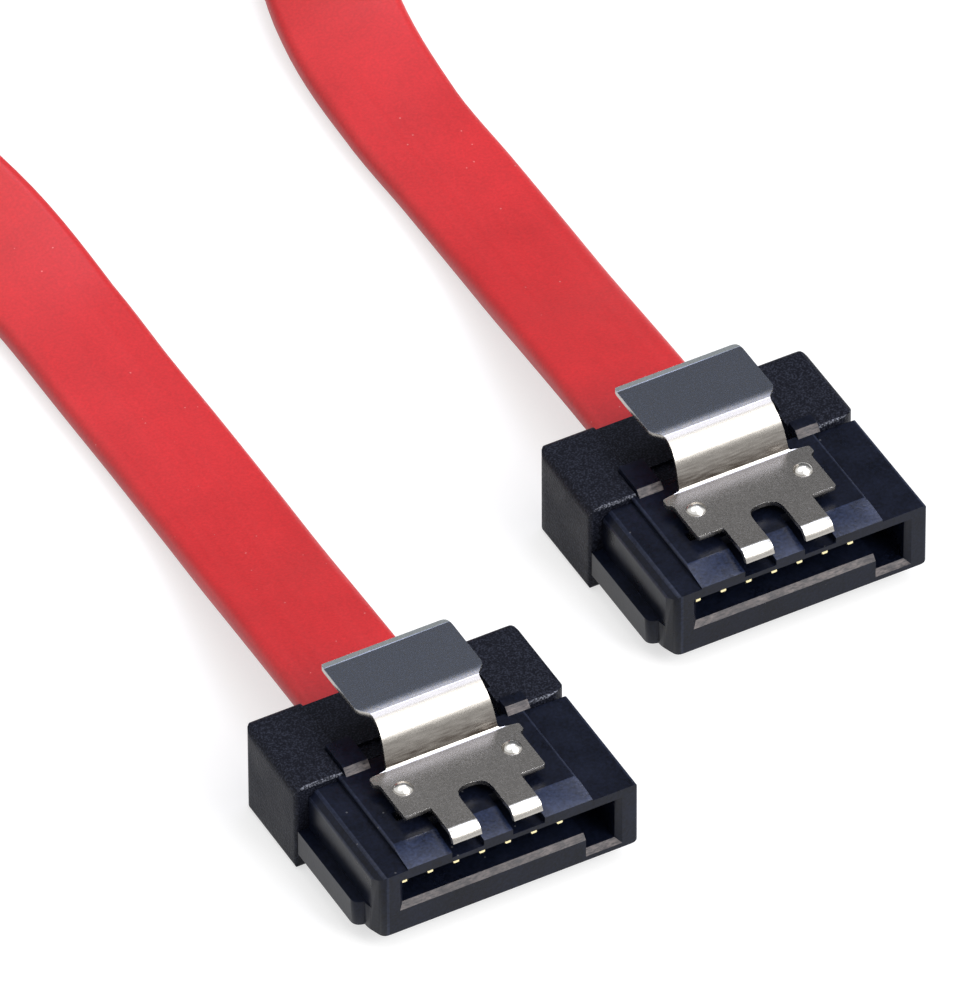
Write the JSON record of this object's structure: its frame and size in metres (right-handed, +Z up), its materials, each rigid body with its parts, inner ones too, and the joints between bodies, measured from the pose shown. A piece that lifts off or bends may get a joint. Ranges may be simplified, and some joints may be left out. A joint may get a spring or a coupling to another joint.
{
  "type": "sata data cable",
  "caption": "Short flat data cable with a low latching plug at each end; each plug has an L-shaped slot, a moulded boot and a sprung metal latch.",
  "frame": {"origin": "on the table, below the middle of the two plugs' common box, measured without the free cable", "axes": "+X to the right along the mating faces, +Y from the mating faces back towards the cable, +Z up from the table towards the latches"},
  "size_m": [0.053, 0.1491, 0.0075],
  "materials": {
    "housing": "black moulded plastic, satin gloss",
    "boot": "black soft overmould, fine grain, matte",
    "inner_mould": "natural plastic, hidden",
    "latch": "stainless spring sheet, satin",
    "contact": "gold plated, bright",
    "signal_wire": "white insulated wire",
    "drain_wire": "tinned copper, bare",
    "jacket": "red soft plastic, smooth satin"
  },
  "bodies": {
    "cable": {"housing_a": "housing", "boot_a": "boot", "inner_mould_a": "inner_mould", "contact_1_a": "contact", "drain_wire_1_a": "drain_wire", "contact_2_a": "contact", "signal_wire_2_a": "signal_wire", "contact_3_a": "contact", "signal_wire_3_a": "signal_wire", "contact_4_a": "contact", "drain_wire_4_a": "drain_wire", "contact_5_a": "contact", "signal_wire_5_a": "signal_wire", "contact_6_a": "contact", "signal_wire_6_a": "signal_wire", "contact_7_a": "contact", "drain_wire_7_a": "drain_wire", "housing_b": "housing", "boot_b": "boot", "inner_mould_b": "inner_mould", "contact_1_b": "contact", "drain_wire_1_b": "drain_wire", "contact_2_b": "contact", "signal_wire_2_b": "signal_wire", "contact_3_b": "contact", "signal_wire_3_b": "signal_wire", "contact_4_b": "contact", "drain_wire_4_b": "drain_wire", "contact_5_b": "contact", "signal_wire_5_b": "signal_wire", "contact_6_b": "contact", "signal_wire_6_b": "signal_wire", "contact_7_b": "contact", "drain_wire_7_b": "drain_wire", "cable_jacket": "jacket"},
    "latch_spring_a": {"latch_a": "latch"},
    "latch_spring_b": {"latch_b": "latch"}
  },
  "joints": [
    {"name": "latch_press_a", "type": "hinge", "parent": "cable", "child": "latch_spring_a", "pos_m": [-0.00942, -0.0098, 0.0051], "axis": [-1, 0, 0], "range_deg": [0, 4], "stiffness_Nm_per_rad": 0.08},
    {"name": "latch_press_b", "type": "hinge", "parent": "cable", "child": "latch_spring_b", "pos_m": [0.01022, -0.0004, 0.0051], "axis": [-1, 0, 0], "range_deg": [0, 4], "stiffness_Nm_per_rad": 0.08}
  ]
}
